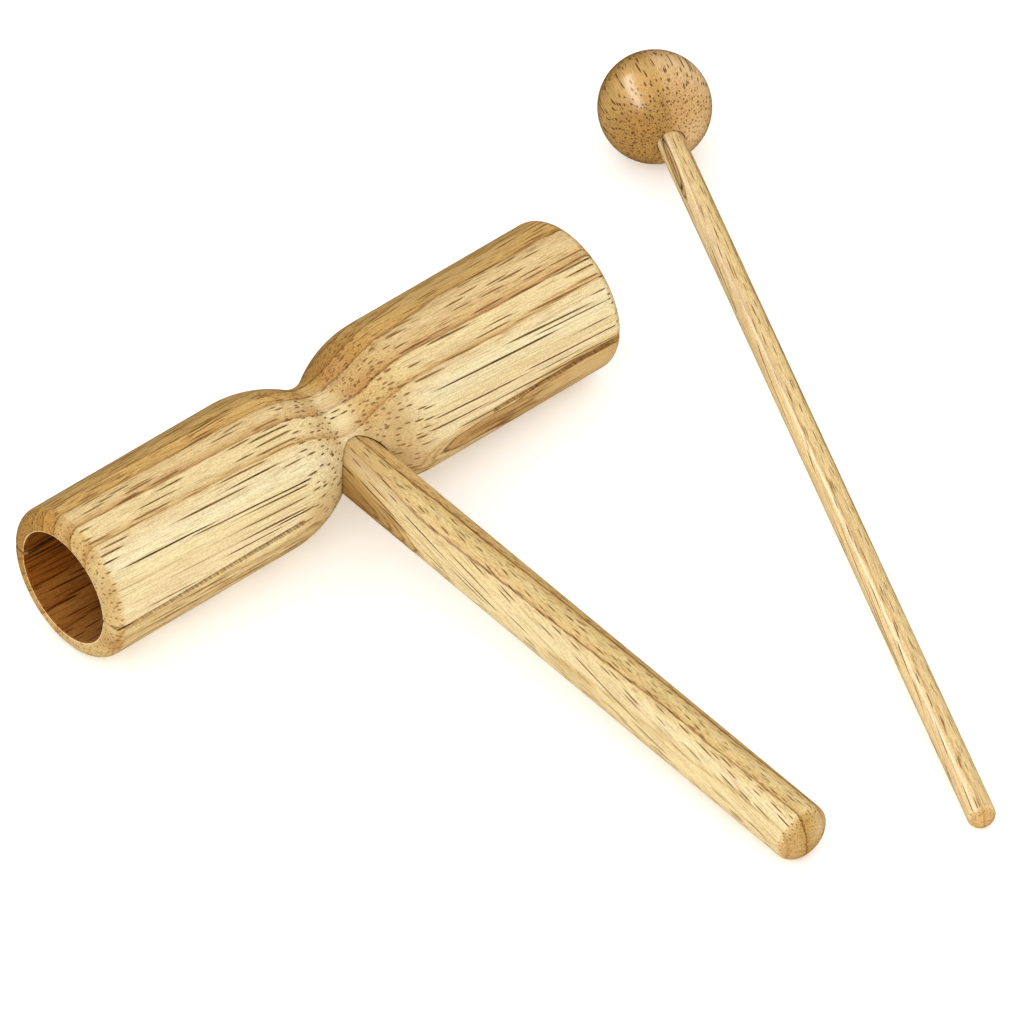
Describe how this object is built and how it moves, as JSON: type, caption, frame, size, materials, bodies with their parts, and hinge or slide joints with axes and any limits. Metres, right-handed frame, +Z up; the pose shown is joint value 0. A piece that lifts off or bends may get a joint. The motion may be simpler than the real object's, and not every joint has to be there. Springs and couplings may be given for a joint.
{
  "type": "tone block",
  "caption": "Turned wooden tube with a waist, a slotted chamber at each end and a dowel handle, beside a ball-headed wooden beater.",
  "frame": {"origin": "on the table, under the middle of the bounding box of the block and the beater as they lie at rest", "axes": "+X along the block's tube towards its shallower chamber, the handle points to -Y, +Z up from the table"},
  "size_m": [0.269, 0.287, 0.045],
  "materials": {
    "block_wood": "pale straight-grained hardwood with dark pores, satin clear lacquer",
    "handle_wood": "pale straight-grained hardwood dowel, satin clear lacquer",
    "head_wood": "browner hardwood ball with open pores, semi-gloss clear lacquer",
    "stick_wood": "pale hardwood dowel, satin clear lacquer"
  },
  "bodies": {
    "tone_block": {"tone_block_body": "block_wood", "handle": "handle_wood"},
    "beater": {"beater_head": "head_wood", "beater_stick": "stick_wood"}
  },
  "joints": [
    {"name": "beater_lift", "type": "slide", "parent": "tone_block", "child": "beater", "axis": [0, 0, 1], "range_m": [0, 0.1]}
  ]
}
